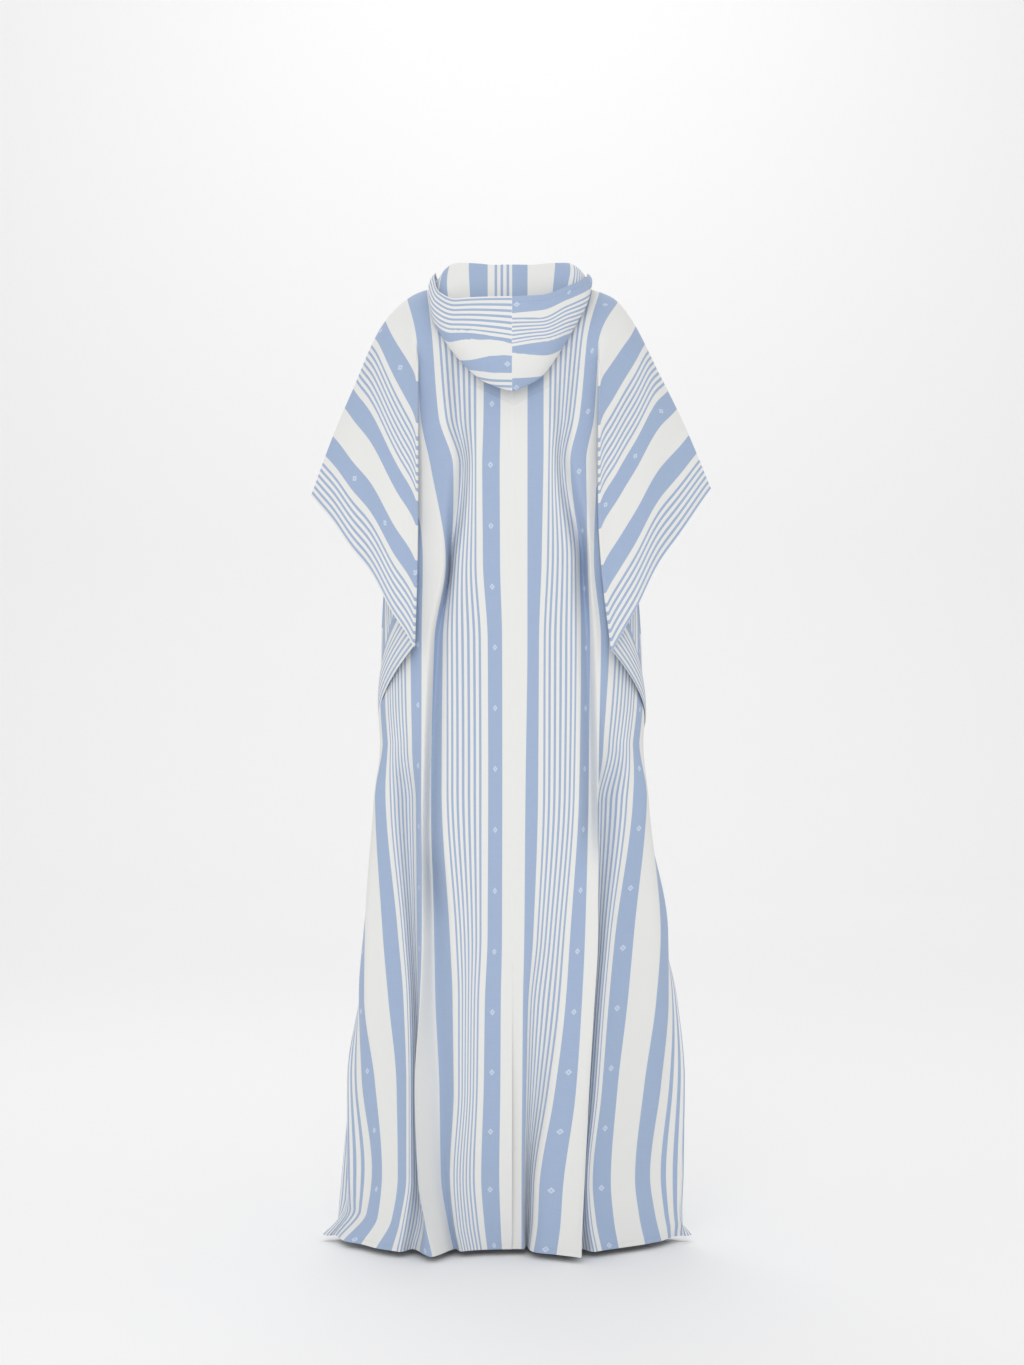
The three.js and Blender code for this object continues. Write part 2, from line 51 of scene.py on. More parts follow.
def table(*names):  # a table whose columns are named once: rows of numbers become one array a column
    return lambda *rows: {name: np.array([row[k] for row in rows], float) for k, name in enumerate(names)}


def curve(keys, values, at):
    # smooth curve through points: cubic pieces whose slopes never overshoot; values may differ from place to place
    step = np.diff(values) / np.diff(keys)
    slope = np.concatenate([step[..., :1], 0 * step[..., 1:], step[..., -1:]], -1)
    before, after = step[..., :-1], step[..., 1:]
    total = np.where(before * after > 0, before + after, 1.0)
    slope[..., 1:-1] = np.where(before * after > 0, 2 * before * after / total, 0.0)
    x = np.clip(at, keys[0], keys[-1])
    k = np.clip(np.searchsorted(keys, x, side="right") - 1, 0, len(keys) - 2)
    h = keys[k + 1] - keys[k]
    t = (x - keys[k]) / h

    def pick(column, place):
        return column[place] if column.ndim == 1 else np.take_along_axis(column, place[..., None], -1)[..., 0]
    return (pick(values, k) * (2 * t**3 - 3 * t**2 + 1) + h * pick(slope, k) * (t**3 - 2 * t**2 + t)
            + pick(values, k + 1) * (3 * t**2 - 2 * t**3) + h * pick(slope, k + 1) * (t**3 - t**2))


def along(rows, key, column, at):  # the curve through one column of a table
    keys, values = rows[key], rows[column]
    return curve(keys[::-1], values[::-1], at) if keys[0] > keys[-1] else curve(keys, values, at)


def ease(t):  # 0 to 1 with no corner at either end
    c = np.clip(t, 0, 1)
    return c * c * (3 - 2 * c)


def mix(a, b, t):
    return a + (b - a) * t


outline = table("u", "x", "z")
overarm = {  # shoulder and overarm line, from the neck to the sleeve's corner
    "left": outline((85, 88, 4), (144, 150, -13), (208, 200, -57), (326, 252, -168), (402, 283, -241),
                    (495, 316, -331)),
    "right": outline((85, 88, 4), (152, 157, -19), (190, 184, -48), (292, 231, -138), (388, 273, -224),
                     (495, 313, -320)),
}
seamLine = table("z", "x", "y")
sideSeam = {  # from the bottom of the armhole to the hem
    "left": seamLine((-720, 196, -48), (-850, 184, -50), (-1000, 204, -52), (-1150, 232, -56),
                     (-1300, 258, -62), (-1450, 264, -74), (-1474, 271, -79),
                     (-1492, 284, -83), (-1512, 305, -88)),
    "right": seamLine((-720, 196, -48), (-850, 186, -50), (-1000, 214, -52), (-1150, 246, -56),
                      (-1300, 266, -62), (-1450, 264, -72), (-1480, 266, -78),
                      (-1512, 288, -84)),
}

# lip: outer edge of the side pleat, where the sleeve's cloth turns under. roll: its inner edge, where the
# cloth turns back and becomes the skirt. sections: depth of the skirt at the centre, at the crease thread and
# of the bulge beside it. places: how far from the middle the threads lie at each height, as the stripes show
# them. folds: ridges and valleys (below zero) from (u0, z0) to (u1, z1).
edge = table("u", "x", "y", "z")
section = table("z", "centreY", "creaseU", "creaseY", "bulgeX", "bulgeY")
leftPlaces = table("z", 56, 116, 160, 206, 238, 309, 352, 398, 430, 468)
rightPlaces = table("z", 25, 60, 120, 164, 210, 238, 313, 356, 402, 434, 468)
foldRow = table("u0", "z0", "u1", "z1", "width0", "width1", "depth0", "depth1")

panels = {
    "back_left": {
        "side": 1, "face": 1, "ends": "left",
        "lip": edge((160, 146, 90, -105), (206, 146, 93, -161), (249, 146, 95, -246), (320, 146, 96, -345),
                    (398, 147, 97, -437), (495, 151, 97, -568)),
        "roll": edge((160, 148, 80, -118), (183, 157, 70, -172), (205, 168, 58, -225), (254, 186, 32, -345),
                     (302, 197, 6, -440), (368, 205, -20, -568), (430, 207, -36, -655), (495, 196, -48, -720)),
        "sections": section(
            (-100, 84, 160, 82, 150, 78), (-215, 90, 168, 80, 160, 68), (-345, 84, 196, 76, 172, 55),
            (-440, 76, 216, 72, 186, 45), (-568, 74, 222, 70, 205, 35), (-720, 80, 222, 74, 236, 34),
            (-850, 88, 214, 84, 250, 40), (-1000, 88, 208, 90, 260, 46), (-1150, 82, 206, 92, 260, 56),
            (-1300, 68, 206, 90, 262, 62), (-1420, 48, 206, 88, 250, 60), (-1512, 26, 210, 84, 250, 40)),
        "places": leftPlaces(
            (-100, 55, 113, 147, 164, 172, 180, 190, 200, 206, 204),
            (-215, 55, 103, 141, 158, 172, 180, 190, 200, 206, 204),
            (-289, 55, 82, 126, 152, 172, 180, 190, 200, 206, 204),
            (-437, 55, 92, 103, 138, 158, 180, 190, 200, 206, 204),
            (-560, 48, 101, 121, 140, 150, 178, 196, 206, 206, 204),
            (-787, 47, 101, 126, 140, 149, 190, 214, 216, 208, 200),
            (-1014, 47, 87, 121, 139, 147, 171, 202, 231, 234, 222),
            (-1118, 51, 83, 119, 142, 145, 163, 193, 232, 242, 240),
            (-1252, 53, 83, 113, 150, 144, 160, 180, 215, 237, 262),
            (-1394, 58, 91, 111, 145, 140, 160, 178, 204, 221, 263),
            (-1466, 53, 86, 101, 133, 137, 170, 188, 211, 230, 262),
            (-1512, 47, 78, 92, 123, 144, 180, 213, 238, 268, 290)),
        "folds": foldRow(
            (86, -205, 128, -430, 30, 36, -16, -24), (138, -470, 166, -900, 36, 46, -18, -30),
            (160, -980, 158, -1560, 46, 48, -26, -34), (256, -800, 256, -1560, 50, 52, -28, -42),
            (420, -760, 440, -1150, 60, 50, -26, -12), (452, -1240, 458, -1560, 34, 38, -12, -26)),
    },
    "back_right": {
        "side": -1, "face": 1, "ends": "right",
        "lip": edge((164, 134, 90, -105), (210, 134, 94, -170), (253, 134, 96, -250), (324, 134, 97, -350),
                    (402, 139, 97, -445), (495, 154, 98, -575)),
        "roll": edge((164, 137, 80, -118), (186, 147, 70, -176), (207, 159, 58, -230), (256, 179, 32, -350),
                     (304, 193, 6, -445), (368, 203, -20, -572), (430, 206, -36, -658), (495, 196, -48, -720)),
        "sections": section(
            (-100, 84, 164, 82, 139, 78), (-215, 90, 180, 80, 150, 68), (-345, 84, 214, 76, 162, 55),
            (-440, 76, 230, 72, 180, 45), (-568, 74, 236, 70, 203, 35), (-720, 80, 232, 74, 236, 34),
            (-850, 88, 218, 84, 252, 40), (-1000, 88, 212, 92, 266, 46), (-1150, 80, 210, 94, 270, 56),
            (-1300, 62, 208, 94, 270, 62), (-1420, 42, 204, 92, 260, 60), (-1512, 24, 200, 88, 250, 44)),
        "places": rightPlaces(
            (-100, 25, 58, 108, 134, 158, 168, 184, 194, 204, 206, 204),
            (-215, 24, 57, 96, 127, 142, 156, 184, 194, 204, 206, 204),
            (-282, 24, 56, 83, 115, 133, 148, 184, 194, 204, 206, 204),
            (-433, 24, 54, 99, 118, 127, 140, 182, 194, 204, 206, 204),
            (-559, 24, 49, 100, 122, 138, 147, 184, 200, 208, 206, 204),
            (-790, 21, 48, 97, 119, 133, 131, 181, 211, 214, 208, 200),
            (-1020, 19, 38, 81, 113, 132, 129, 154, 191, 234, 247, 238),
            (-1126, 17, 28, 73, 108, 126, 122, 144, 181, 227, 248, 262),
            (-1261, 16, 24, 56, 99, 118, 112, 134, 165, 208, 236, 275),
            (-1405, 15, 20, 35, 80, 111, 105, 120, 155, 194, 219, 274),
            (-1466, 15, 19, 33, 76, 108, 102, 125, 160, 201, 227, 272),
            (-1512, 15, 20, 28, 70, 107, 104, 134, 168, 211, 238, 274)),
        "folds": foldRow(
            (92, -205, 140, -430, 30, 36, -14, -24), (146, -470, 170, -820, 34, 42, -16, -24),
            (84, -1080, 92, -1560, 46, 52, -10, -40), (258, -790, 258, -1560, 50, 52, -28, -42),
            (424, -760, 446, -1120, 60, 48, -26, -12), (456, -1240, 462, -1560, 32, 34, -12, -24)),
    },
    "front_left": {
        "side": 1, "face": -1, "ends": "left",
        "lip": edge((160, 150, -98, -105), (206, 150, -104, -161), (249, 150, -108, -246), (320, 150, -108, -345),
                    (398, 150, -108, -437), (495, 152, -110, -560)),
        "roll": edge((160, 152, -88, -118), (183, 161, -84, -172), (205, 170, -80, -225), (254, 186, -78, -345),
                     (302, 196, -74, -440), (368, 203, -68, -568), (430, 204, -60, -655), (495, 196, -48, -720)),
        "sections": section(
            (-100, -86, 160, -90, 154, -88), (-215, -110, 164, -96, 164, -92), (-345, -112, 188, -96, 176, -90),
            (-440, -108, 206, -96, 188, -90), (-568, -106, 222, -98, 202, -98), (-720, -108, 222, -104, 230, -106),
            (-850, -110, 214, -110, 246, -112), (-1000, -112, 208, -114, 256, -118),
            (-1150, -112, 206, -120, 260, -122), (-1300, -110, 206, -126, 262, -126),
            (-1420, -106, 206, -130, 258, -132), (-1512, -102, 210, -134, 254, -136)),
        "places": leftPlaces(
            (-100, 55, 113, 150, 168, 176, 184, 190, 200, 206, 204),
            (-289, 55, 98, 138, 160, 172, 184, 190, 200, 206, 204),
            (-560, 50, 92, 120, 144, 158, 180, 196, 206, 206, 204),
            (-787, 48, 88, 122, 146, 158, 186, 208, 216, 210, 200),
            (-1014, 48, 84, 122, 150, 160, 178, 206, 231, 234, 222),
            (-1252, 46, 80, 118, 156, 162, 176, 196, 222, 238, 256),
            (-1512, 44, 78, 114, 150, 164, 184, 210, 236, 262, 282)),
        "folds": foldRow(
            (104, -300, 112, -900, 44, 48, -20, -30), (74, -1040, 78, -1560, 52, 56, -22, -34),
            (204, -640, 200, -1560, 46, 48, 10, 22), (270, -760, 262, -1560, 52, 52, -28, -42),
            (404, -760, 420, -1400, 58, 56, -26, -20)),
    },
    "front_right": {
        "side": -1, "face": -1, "ends": "right",
        "lip": edge((164, 148, -98, -105), (210, 148, -104, -165), (253, 148, -108, -250), (324, 148, -108, -350),
                    (402, 149, -108, -440), (495, 154, -110, -566)),
        "roll": edge((164, 150, -88, -118), (186, 159, -84, -176), (207, 168, -80, -230), (256, 185, -78, -350),
                     (304, 196, -74, -445), (368, 203, -68, -572), (430, 204, -60, -658), (495, 196, -48, -720)),
        "sections": section(
            (-100, -86, 164, -90, 152, -88), (-215, -110, 168, -96, 162, -92), (-345, -112, 190, -96, 174, -90),
            (-440, -108, 208, -96, 186, -90), (-568, -106, 224, -98, 200, -98), (-720, -108, 224, -104, 230, -106),
            (-850, -110, 218, -110, 248, -112), (-1000, -112, 212, -114, 260, -118),
            (-1150, -112, 210, -120, 264, -122), (-1300, -110, 208, -126, 266, -126),
            (-1420, -106, 206, -130, 258, -132), (-1512, -102, 206, -134, 250, -136)),
        "places": rightPlaces(
            (-100, 25, 59, 115, 148, 166, 173, 184, 194, 204, 206, 204),
            (-282, 25, 58, 98, 132, 158, 168, 184, 194, 204, 206, 204),
            (-559, 24, 52, 92, 122, 146, 156, 184, 200, 208, 206, 204),
            (-790, 23, 50, 88, 122, 148, 156, 186, 208, 214, 208, 200),
            (-1020, 23, 48, 84, 120, 150, 157, 178, 204, 234, 244, 238),
            (-1261, 22, 46, 80, 116, 152, 156, 176, 198, 226, 246, 268),
            (-1512, 21, 44, 78, 112, 146, 153, 180, 206, 232, 250, 264)),
        "folds": foldRow(
            (98, -340, 110, -860, 42, 46, -18, -28), (66, -1000, 72, -1560, 50, 54, -20, -32),
            (208, -620, 204, -1560, 46, 48, 10, 20), (276, -740, 266, -1560, 52, 52, -26, -40),
            (396, -760, 414, -1400, 58, 56, -24, -18)),
    },
}


def foldDepth(panel, u, z):
    # sum of the folds: each is a squared cosine across its width, faded beyond its two ends
    depth = np.zeros(np.broadcast(u, z).shape)
    for u0, z0, u1, z1, width0, width1, depth0, depth1 in zip(*panel["folds"].values()):
        t = (z - z0) / (z1 - z0)
        c = np.clip(t, 0, 1)
        strength = 1 - ease(np.abs(t - c) * abs(z1 - z0) / cloth["foldFade"])
        across = np.clip((u - mix(u0, u1, c)) / mix(width0, width1, c), -1, 1)
        depth = depth + mix(depth0, depth1, c) * strength * np.cos(across * np.pi / 2) ** 2
    return depth


def rollSpread(u):  # half the space between the layers at the roll, closing towards the side seam
    return cloth["foldSpread"] * (1 - ease((u - cloth["closingFrom"]) / (cloth["halfWidth"] - cloth["closingFrom"])))


def slitShift(panel, u, z):  # how far a thread stands away from the middle beside the neck slit
    if panel["face"] > 0:
        return 0 * u
    return slit["halfOpen"] * ease((z - slit["bottomZ"]) / -slit["bottomZ"]) * (1 - ease(u / slit["fadeU"]))


def skirtPoint(panel, u, z):
    # level section at height z. Out to the crease thread, and all the way below the sleeve, a thread lies at
    # its place from the table; beyond the crease above that, on a quadratic curve to the roll. The folds move
    # it forwards or back.
    face = panel["face"]
    u, z = np.broadcast_arrays(np.asarray(u, float), np.asarray(z, float))
    row = {name: along(panel["sections"], "z", name, z) for name in panel["sections"]}
    above = z > panel["roll"]["z"][-1]
    endU = np.where(above, np.maximum(along(panel["roll"], "z", "u", z), row["creaseU"] + 0.5), cloth["halfWidth"])
    seam = sideSeam[panel["ends"]]
    endX = np.where(above, along(panel["roll"], "z", "x", z), along(seam, "z", "x", z))
    rollY = along(panel["roll"], "z", "y", z) + face * (cloth["halfGap"] - rollSpread(endU))
    endY = np.where(above, rollY, along(seam, "z", "y", z) + face * cloth["halfGap"])
    threads = [name for name in panel["places"] if name != "z"]
    keys = np.array([0, *threads, cloth["halfWidth"]], float)
    values = np.stack([0 * z, *(along(panel["places"], "z", name, z) for name in threads), endX], -1)
    placed = curve(keys, values, u)
    creaseX = curve(keys, values, row["creaseU"])
    t = np.clip((u - row["creaseU"]) / (endU - row["creaseU"]), 0, 1)
    swung = mix(mix(creaseX, row["bulgeX"], t), mix(row["bulgeX"], endX, t), t)
    low = ease((panel["roll"]["z"][-1] - z) / 90)
    inner = u <= row["creaseU"]
    x = np.where(inner, placed, mix(swung, placed, low))
    y = np.where(inner, mix(row["centreY"], row["creaseY"], (u / row["creaseU"]) ** 2),
                 mix(mix(row["creaseY"], row["bulgeY"], t), mix(row["bulgeY"], endY, t), t))
    y = y + face * foldDepth(panel, u, z) * ease(u / 25) * ease((endU - u) / 40)
    return np.stack([x + slitShift(panel, u, z), y, z], -1)


def topPoint(panel, u):
    # the neckline's half ellipse, then the shoulder and overarm line
    face, rows = panel["face"], overarm[panel["ends"]]
    across = np.clip(u / neck["halfWidth"], 0, 1)
    flat = 1 - across**2
    deep = neck["backDepth"] if face > 0 else neck["frontDepth"]
    drop = neck["backDrop"] if face > 0 else neck["frontDrop"]
    onNeck = u <= neck["halfWidth"]
    x = np.where(onNeck, rows["x"][0] * across + slitShift(panel, u, 0) * flat, along(rows, "u", "x", u))
    y = face * (cloth["halfGap"] + np.where(onNeck, deep * np.sqrt(flat), 0))
    z = np.where(onNeck, neck["shoulderZ"] - drop * flat, along(rows, "u", "z", u))
    return np.stack([x, y, z], -1)


sleeveWaves = {  # soft upright folds in each sleeve: where, how far they push the threads, how deep they are
    "left": ({"x": 200, "width": 24, "size": 7.0, "depth": 6.0},
             {"x": 262, "width": 20, "size": 3.0, "depth": 3.5}),
    "right": ({"x": 204, "width": 24, "size": 8.5, "depth": 7.0},
              {"x": 166, "width": 16, "size": 3.5, "depth": 3.0}),
}


def sleeveWave(panel, wing, t):
    # a ridge across the threads: they rise on its outer side and dip on its inner side
    moved = wing.copy()
    fade = (ease(t / 0.3) * ease((1 - t) / 0.3))[..., 0]
    for wave in sleeveWaves[panel["ends"]]:
        c = (wing[..., 0] - wave["x"]) / wave["width"]
        moved[..., 2] += wave["size"] * fade * c * np.exp((1 - c * c) / 2)
        moved[..., 1] += panel["face"] * wave["depth"] * fade * np.exp(-c * c / 2)
    return moved


def panelPoints(panel, threads):
    # threads by rows: each thread runs over the wing to the lip, under the pleat to the roll, then down
    side, face = panel["side"], panel["face"]
    lipRows, rollRows = panel["lip"], panel["roll"]
    apexU, apexZ = lipRows["u"][0], lipRows["z"][0]
    u = threads
    inner = u < apexU
    deep = np.where(inner, 0, ease((u - apexU) / 26))[:, None]
    lipZ = np.where(inner, apexZ, along(lipRows, "u", "z", u))
    rollZ = np.where(inner, rollRows["z"][0] - (apexU - u) * 0.5, along(rollRows, "u", "z", u))
    flatLip = skirtPoint(panel, np.minimum(u, apexU), lipZ)
    lip = np.where(inner[:, None], flatLip,
                   mix(flatLip, np.stack([along(lipRows, "u", "x", u), along(lipRows, "u", "y", u), lipZ], -1),
                       np.maximum(deep, 0.001)))
    roll = np.where(inner[:, None], skirtPoint(panel, u, rollZ),
                    np.stack([along(rollRows, "u", "x", u), along(rollRows, "u", "y", u), rollZ], -1))
    spread = cloth["foldSpread"] * deep
    opened = rollSpread(u)[:, None] * deep
    outward, backward, upward = np.eye(3)
    outer = ease((u - apexU) / (cloth["halfWidth"] - apexU))[:, None]
    onNeck = (u <= neck["halfWidth"])[:, None]
    leave = np.where(onNeck, [[0, face * 40, -26]],
                     outward * -60 * outer + backward * face * mix(120, 80, outer) + upward * mix(-30, -70, outer))
    top = topPoint(panel, u)
    wingEnd = lip + outward * 1.5 * deep + backward * face * spread
    chord = np.linalg.norm(wingEnd - top, axis=-1)[:, None]
    flatRun = (skirtPoint(panel, np.minimum(u, apexU), lipZ - 4) - flatLip) / 4 * chord
    folded = outward * -90 * outer + backward * face * mix(16, 50, outer) + upward * mix(-90, -200, outer)
    arrive = mix(flatRun, folded, deep)
    # the wing is a cubic that leaves the top edge along one direction and reaches the lip along another
    t = np.linspace(0, 1, grid["wing"] + 1)[None, :, None]
    wing = (top[:, None] * (2 * t**3 - 3 * t**2 + 1) + leave[:, None] * (t**3 - 2 * t**2 + t)
            + wingEnd[:, None] * (3 * t**2 - 2 * t**3) + arrive[:, None] * (t**3 - t**2))
    wing = mix(wing, sleeveWave(panel, wing, t), deep[:, None])
    middleStart = lip + outward * 1.5 * deep - backward * face * spread - upward * 2
    middleEnd = roll - outward * 1.5 * deep + backward * face * (opened + cloth["halfGap"]) + upward * 2
    swell = ease((u - 330) / 165)[:, None]
    control = (middleStart + middleEnd) / 2 + (outward * 66 - backward * face * 20 - upward * 30) * swell
    a = np.linspace(0, 1, cloth["turnRows"] + 2)[None, 1:-1, None] * np.pi  # half a turn at the lip and at the roll
    lipTurn = (lip + outward * 1.5 * deep)[:, None] + backward * face * (np.cos(a) * spread[:, None]) \
        - outward * (np.sin(a) * 3.0 * deep[:, None]) - upward * (1 - np.cos(a))
    t = np.linspace(0, 1, grid["middle"] + 1)[None, :, None]
    middle = mix(mix(middleStart[:, None], control[:, None], t), mix(control[:, None], middleEnd[:, None], t), t)
    flat = skirtPoint(panel, np.minimum(u, apexU)[:, None], mix(lipZ[:, None] - 2, rollZ[:, None] + 2, t[..., 0]))
    middle = mix(flat, middle, deep[:, None])
    rollTurn = (roll - outward * 1.5 * deep + backward * face * cloth["halfGap"])[:, None] \
        + backward * face * (np.cos(a) * opened[:, None]) \
        + outward * (np.sin(a) * 0.9 * opened[:, None] + (1 - np.cos(a)) * 0.75 * deep[:, None]) \
        + upward * (np.cos(a) * 2)
    t = np.linspace(0, 1, grid["skirt"] + 1)[None, :]
    z = mix((rollZ - 2)[:, None], cloth["hemZ"], t * 0.85 + 0.15 * t * t)
    skirt = skirtPoint(panel, u[:, None], z)
    points = np.concatenate([wing, lipTurn, middle, rollTurn, skirt], axis=1)
    points[..., 0] *= side
    return points


def gridNormals(points, turn):  # cross product of the grid's two directions, made unit length
    across = np.gradient(points, axis=0)
    down = np.gradient(points, axis=1)
    normal = np.cross(across, down) * turn
    return normal / np.maximum(np.linalg.norm(normal, axis=-1, keepdims=True), 1e-9)


def wallMesh(name, points, normals, thickness, maps, material):
    # closed wall: the grid moved out and in by half the wall, joined round its four edges. maps: the place in
    # the stripes, and the distances from the piece's hems
    wide, tall = points.shape[:2]
    verts = np.concatenate([(points + normals * thickness / 2).reshape(-1, 3),
                            (points - normals * thickness / 2).reshape(-1, 3)]) / 1000
    ids = np.arange(wide * tall).reshape(wide, tall)
    back = ids + wide * tall

    def quads(a, b, c, d):
        return np.stack([a.ravel(), b.ravel(), c.ravel(), d.ravel()], -1)
    faces = np.concatenate([
        quads(ids[:-1, :-1], ids[1:, :-1], ids[1:, 1:], ids[:-1, 1:]),
        quads(back[:-1, :-1], back[:-1, 1:], back[1:, 1:], back[1:, :-1]),
        quads(ids[0, :-1], ids[0, 1:], back[0, 1:], back[0, :-1]),
        quads(ids[-1, :-1], back[-1, :-1], back[-1, 1:], ids[-1, 1:]),
        quads(ids[:-1, 0], back[:-1, 0], back[1:, 0], ids[1:, 0]),
        quads(ids[:-1, -1], ids[1:, -1], back[1:, -1], back[:-1, -1]),
    ])
    middle = (wide // 2, tall // 2)
    facing = np.cross(np.gradient(points, axis=0)[middle], np.gradient(points, axis=1)[middle])
    if np.dot(facing, normals[middle]) < 0:
        faces = faces[:, ::-1]
    mesh = bpy.data.meshes.new(name)
    mesh.from_pydata(verts.tolist(), [], faces.tolist())
    corner = np.empty(len(mesh.loops), int)
    mesh.loops.foreach_get("vertex_index", corner)
    for title, uv in maps.items():
        both = np.concatenate([uv.reshape(-1, 2), uv.reshape(-1, 2)]) / 1000
        mesh.uv_layers.new(name=title).data.foreach_set("uv", both[corner].astype(np.float32).ravel())
    mesh.shade_smooth()
    mesh.set_sharp_from_angle(angle=math.radians(cloth["sharpAngle"]))
    mesh.materials.append(material)
    piece = bpy.data.objects.new(name, mesh)
    bpy.context.scene.collection.objects.link(piece)
    return piece


class Node:
    # wraps a socket, so that arithmetic on values adds Math nodes
    def __init__(self, tree, socket):
        self.tree, self.socket = tree, socket

    def math(self, operation, *values):
        return add(self.tree, "ShaderNodeMath", {"operation": operation}, dict(enumerate(values)))

    def __add__(self, other): return self.math("ADD", self, other)
    def __radd__(self, other): return self.math("ADD", other, self)
    def __sub__(self, other): return self.math("SUBTRACT", self, other)
    def __rsub__(self, other): return self.math("SUBTRACT", other, self)
    def __mul__(self, other): return self.math("MULTIPLY", self, other)
    def __rmul__(self, other): return self.math("MULTIPLY", other, self)
    def __truediv__(self, other): return self.math("DIVIDE", self, other)
    def __lt__(self, other): return self.math("LESS_THAN", self, other)
    def __gt__(self, other): return self.math("GREATER_THAN", self, other)
    def wrap(self, size): return self.math("FLOORED_MODULO", self, size)
    def away(self): return self.math("ABSOLUTE", self)
    def sine(self): return self.math("SINE", self)


def add(tree, kind, settings, inputs, output=0):
    node = tree.nodes.new(kind)
    for name, value in settings.items():
        setattr(node, name, value)
    for name, value in inputs.items():
        if isinstance(value, Node):
            tree.links.new(value.socket, node.inputs[name])
        else:
            node.inputs[name].default_value = value
    return Node(tree, node.outputs[output])


stripes = {  # one repeat of the cloth, in millimetres across the warp, and its colours
    "repeat": 192.0, "plain": (46, 78), "lines": (89, 149), "pitch": 9.3, "line": 4.1, "marked": (160, 192),
    "blue": (0.325, 0.425, 0.610, 1), "blueLight": (0.405, 0.495, 0.660, 1),
    "white": (0.805, 0.805, 0.785, 1), "mark": (0.640, 0.720, 0.850, 1),
    "hem": 9.0, "markStep": 94.0, "markSize": 5.2, "markHole": 0.3, "markOffset": 40.0,
    "yarn": (1.3, 1.5), "stitch": {"length": 2.3, "step": 3.4, "halfWidth": 0.45},
}


def stripedCloth():
    s = stripes
    material = bpy.data.materials.new("stripedCloth")
    material.use_nodes = True
    tree = material.node_tree
    tree.nodes.clear()
    uv = add(tree, "ShaderNodeUVMap", {"uv_map": "stripes"}, {})
    hems = add(tree, "ShaderNodeUVMap", {"uv_map": "hems"}, {})
    across, down = millimetres(tree, uv)
    fromHem, fromSleeve = millimetres(tree, hems)
    q = across.wrap(s["repeat"])

    def band(low, high):
        return (q > low) * (q < high)
    line = band(*s["lines"]) * ((q - s["lines"][0]).wrap(s["pitch"]) < s["line"])
    solid = band(*s["plain"]) + band(*s["marked"])
    blue = solid + line
    slub = noise(tree, stretch(tree, uv, (900.0, 40.0)))
    cross = noise(tree, stretch(tree, uv, (30.0, 700.0)))
    heather = (slub + cross) * 0.5
    blueTone = mixColour(tree, heather, s["blue"], s["blueLight"])
    tone = mixColour(tree, blue, s["white"], blueTone)
    middle = (s["marked"][0] + s["marked"][1]) / 2
    far = (q - middle).away() + ((down + s["markOffset"]).wrap(s["markStep"]) - s["markStep"] / 2).away()
    ring = (far < s["markSize"]) * (far > s["markSize"] * s["markHole"])
    colour = mixColour(tree, ring * 0.75, tone, s["mark"])
    weave = (across * (2 * math.pi / s["yarn"][0])).sine() * (down * (2 * math.pi / s["yarn"][1])).sine()
    # narrow turned hems, sewn with one row of stitches
    def stitches(distance, run):
        sewn = s["stitch"]
        return ((distance - s["hem"]).away() < sewn["halfWidth"]) * (run.wrap(sewn["step"]) < sewn["length"])
    stitch = stitches(fromHem, across) + stitches(fromSleeve, down)
    doubled = (fromHem < s["hem"]) + (fromSleeve < s["hem"])
    hemBump = add(tree, "ShaderNodeBump", {},
                  {"Strength": 0.6, "Distance": 0.0006, "Height": doubled - stitch * 0.6})
    bump = add(tree, "ShaderNodeBump", {}, {"Strength": 0.35, "Distance": 0.0002, "Height": weave * 0.5 + heather,
                                            "Normal": hemBump})
    shader = add(tree, "ShaderNodeBsdfPrincipled", {},
                 {"Base Color": colour, "Roughness": heather * 0.1 + 0.78, "Normal": bump, "Sheen Weight": 0.15,
                  "Sheen Roughness": 0.5, "Specular IOR Level": 0.25})
    output = tree.nodes.new("ShaderNodeOutputMaterial")
    tree.links.new(shader.socket, output.inputs["Surface"])
    return material


def millimetres(tree, vector):  # both coordinates of a map
    parts = tree.nodes.new("ShaderNodeSeparateXYZ")
    tree.links.new(vector.socket, parts.inputs[0])
    return Node(tree, parts.outputs[0]) * 1000.0, Node(tree, parts.outputs[1]) * 1000.0


def noise(tree, vector):
    return add(tree, "ShaderNodeTexNoise", {"noise_dimensions": "2D"},
               {"Vector": vector, "Scale": 1.0, "Detail": 3.0})


def mixColour(tree, factor, first, second):
    return add(tree, "ShaderNodeMix", {"data_type": "RGBA"}, {0: factor, 6: first, 7: second}, 2)


def stretch(tree, vector, scale):
    return add(tree, "ShaderNodeVectorMath", {"operation": "MULTIPLY"}, {0: vector, 1: (scale[0], scale[1], 1.0)})


clothMaterial = stripedCloth()

# where the pattern lies on each side: distance u in the cloth against the place in the repeat
patternAt = {
    1: ((0, 18, 44, 56, 116, 127, 160, 206, 495), (18, 0, -32, -43, -103, -114, -146, -192, -481)),
    -1: ((0, 25, 50, 60, 120, 131, 163, 495), (21, 46, 78, 89, 149, 160, 192, 524)),
}


def threadPlaces(panel):
    # even spacing in the cloth; the nearest thread is moved onto the point where the neckline meets the shoulder
    count = grid["threads"]
    even = np.linspace(0, 1, count)
    u = cloth["halfGap"] + (cloth["halfWidth"] - cloth["halfGap"]) * even
    k = np.argmin(np.abs(u - neck["halfWidth"]))
    u[k] = neck["halfWidth"]
    return u


